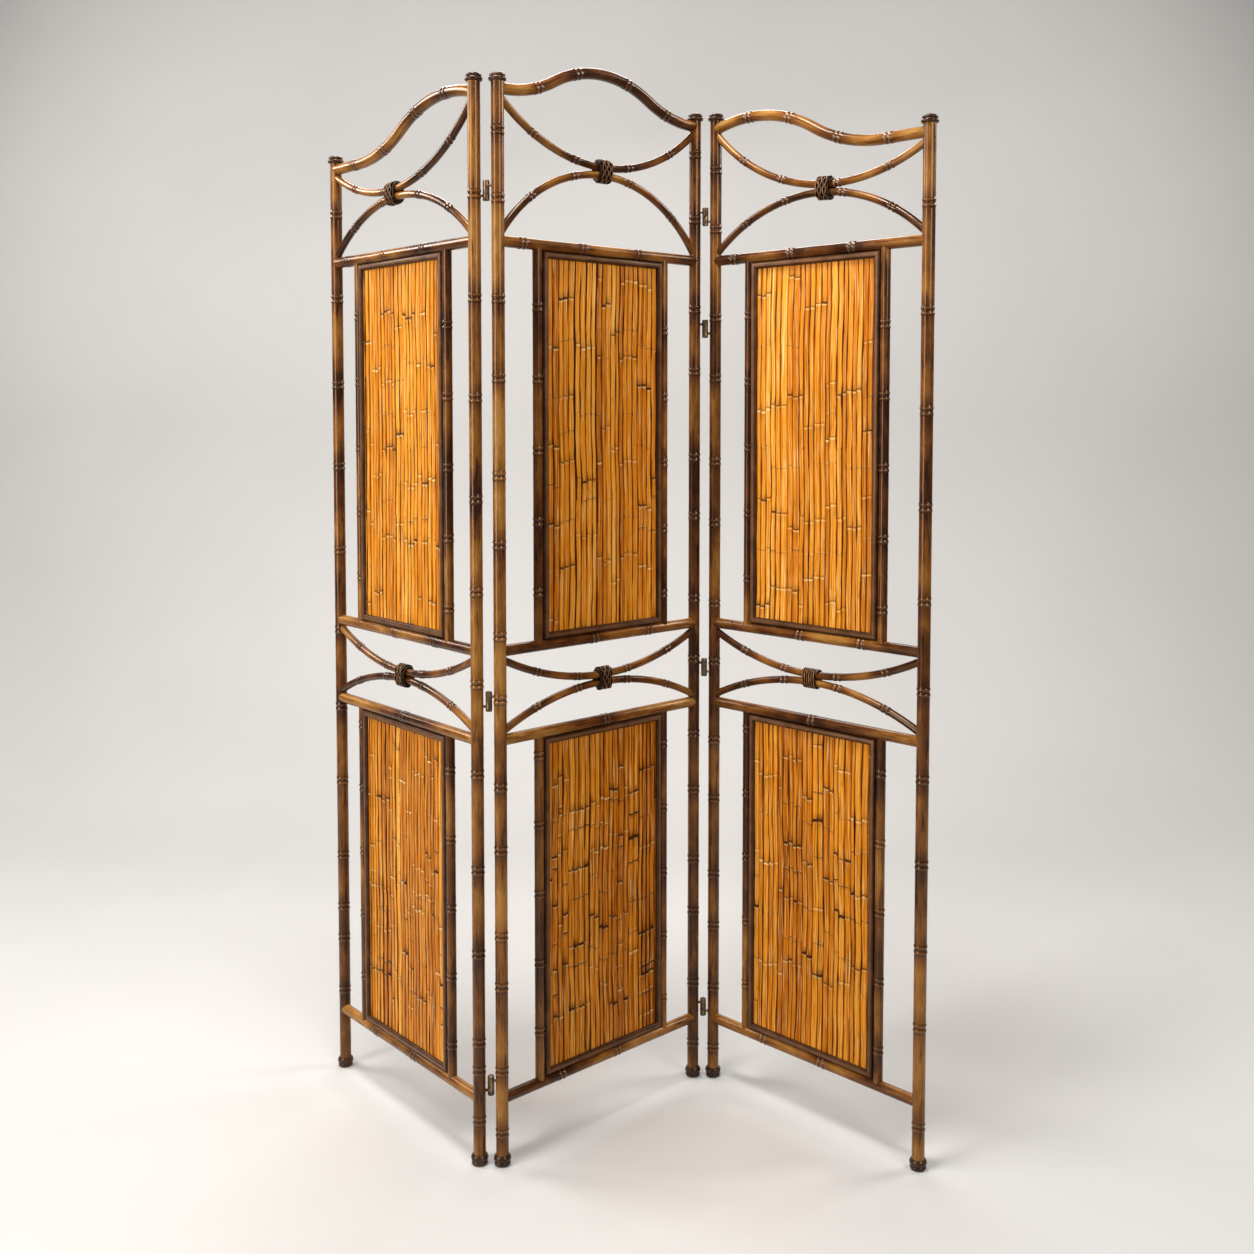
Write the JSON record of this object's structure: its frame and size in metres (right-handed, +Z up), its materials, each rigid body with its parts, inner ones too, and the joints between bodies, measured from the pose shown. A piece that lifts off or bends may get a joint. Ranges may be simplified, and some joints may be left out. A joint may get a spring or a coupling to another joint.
{
  "type": "folding screen",
  "caption": "Folding bamboo room screen: hinged panels of round poles with split-cane infill, bent arches and swags lashed with rattan.",
  "frame": {"origin": "on the floor, under the middle of the box round the screen as it stands half folded", "axes": "+Z up, +X along the middle panel from the left wing to the right wing, -Y towards the front of the middle panel"},
  "size_m": [0.5546, 0.9776, 1.8305],
  "materials": {
    "post_bamboo": "gloss lacquered bamboo, scorched at the joints",
    "rail_bamboo": "gloss lacquered bamboo, scorched at the joints",
    "bent_bamboo": "gloss lacquered bent bamboo",
    "stile_bamboo": "dark lacquered bamboo",
    "split_bamboo": "satin lacquered split bamboo",
    "moulding_wood": "dark stained half-round",
    "turned_wood": "dark gloss turned wood",
    "rattan": "lacquered rattan",
    "hinge_metal": "tarnished brass",
    "pin_steel": "plain"
  },
  "bodies": {
    "middle_panel": {"middle_top_rail": "rail_bamboo", "middle_upper_head_rail": "rail_bamboo", "middle_upper_sill_rail": "rail_bamboo", "middle_lower_head_rail": "rail_bamboo", "middle_bottom_rail": "rail_bamboo", "middle_upper_swag": "bent_bamboo", "middle_upper_arch": "bent_bamboo", "middle_middle_swag": "bent_bamboo", "middle_middle_arch": "bent_bamboo", "middle_bindings": "rattan", "middle_stiles": "stile_bamboo", "middle_mouldings": "moulding_wood", "middle_upper_reeds": "split_bamboo", "middle_lower_reeds": "split_bamboo", "middle_caps": "turned_wood", "middle_feet": "turned_wood", "middle_left_post": "post_bamboo", "middle_right_post": "post_bamboo", "left_hinge_sockets": "hinge_metal", "right_hinge_sockets": "hinge_metal"},
    "left_panel": {"left_top_rail": "rail_bamboo", "left_upper_head_rail": "rail_bamboo", "left_upper_sill_rail": "rail_bamboo", "left_lower_head_rail": "rail_bamboo", "left_bottom_rail": "rail_bamboo", "left_upper_swag": "bent_bamboo", "left_upper_arch": "bent_bamboo", "left_middle_swag": "bent_bamboo", "left_middle_arch": "bent_bamboo", "left_bindings": "rattan", "left_stiles": "stile_bamboo", "left_mouldings": "moulding_wood", "left_upper_reeds": "split_bamboo", "left_lower_reeds": "split_bamboo", "left_caps": "turned_wood", "left_feet": "turned_wood", "left_outer_post": "post_bamboo", "left_inner_post": "post_bamboo", "left_hinge_pintles": "hinge_metal", "left_hinge_pins": "pin_steel"},
    "right_panel": {"right_top_rail": "rail_bamboo", "right_upper_head_rail": "rail_bamboo", "right_upper_sill_rail": "rail_bamboo", "right_lower_head_rail": "rail_bamboo", "right_bottom_rail": "rail_bamboo", "right_upper_swag": "bent_bamboo", "right_upper_arch": "bent_bamboo", "right_middle_swag": "bent_bamboo", "right_middle_arch": "bent_bamboo", "right_bindings": "rattan", "right_stiles": "stile_bamboo", "right_mouldings": "moulding_wood", "right_upper_reeds": "split_bamboo", "right_lower_reeds": "split_bamboo", "right_caps": "turned_wood", "right_feet": "turned_wood", "right_inner_post": "post_bamboo", "right_outer_post": "post_bamboo", "right_hinge_pintles": "hinge_metal", "right_hinge_pins": "pin_steel"}
  },
  "joints": [
    {"name": "left_fold", "type": "hinge", "parent": "middle_panel", "child": "left_panel", "pos_m": [-0.24819, 0.01408, 0], "axis": [0, 0, 1], "range_deg": [-88.5, 61.5]},
    {"name": "right_fold", "type": "hinge", "parent": "middle_panel", "child": "right_panel", "pos_m": [0.22381, -0.01572, 0], "axis": [0, 0, 1], "range_deg": [-93, 57]}
  ]
}
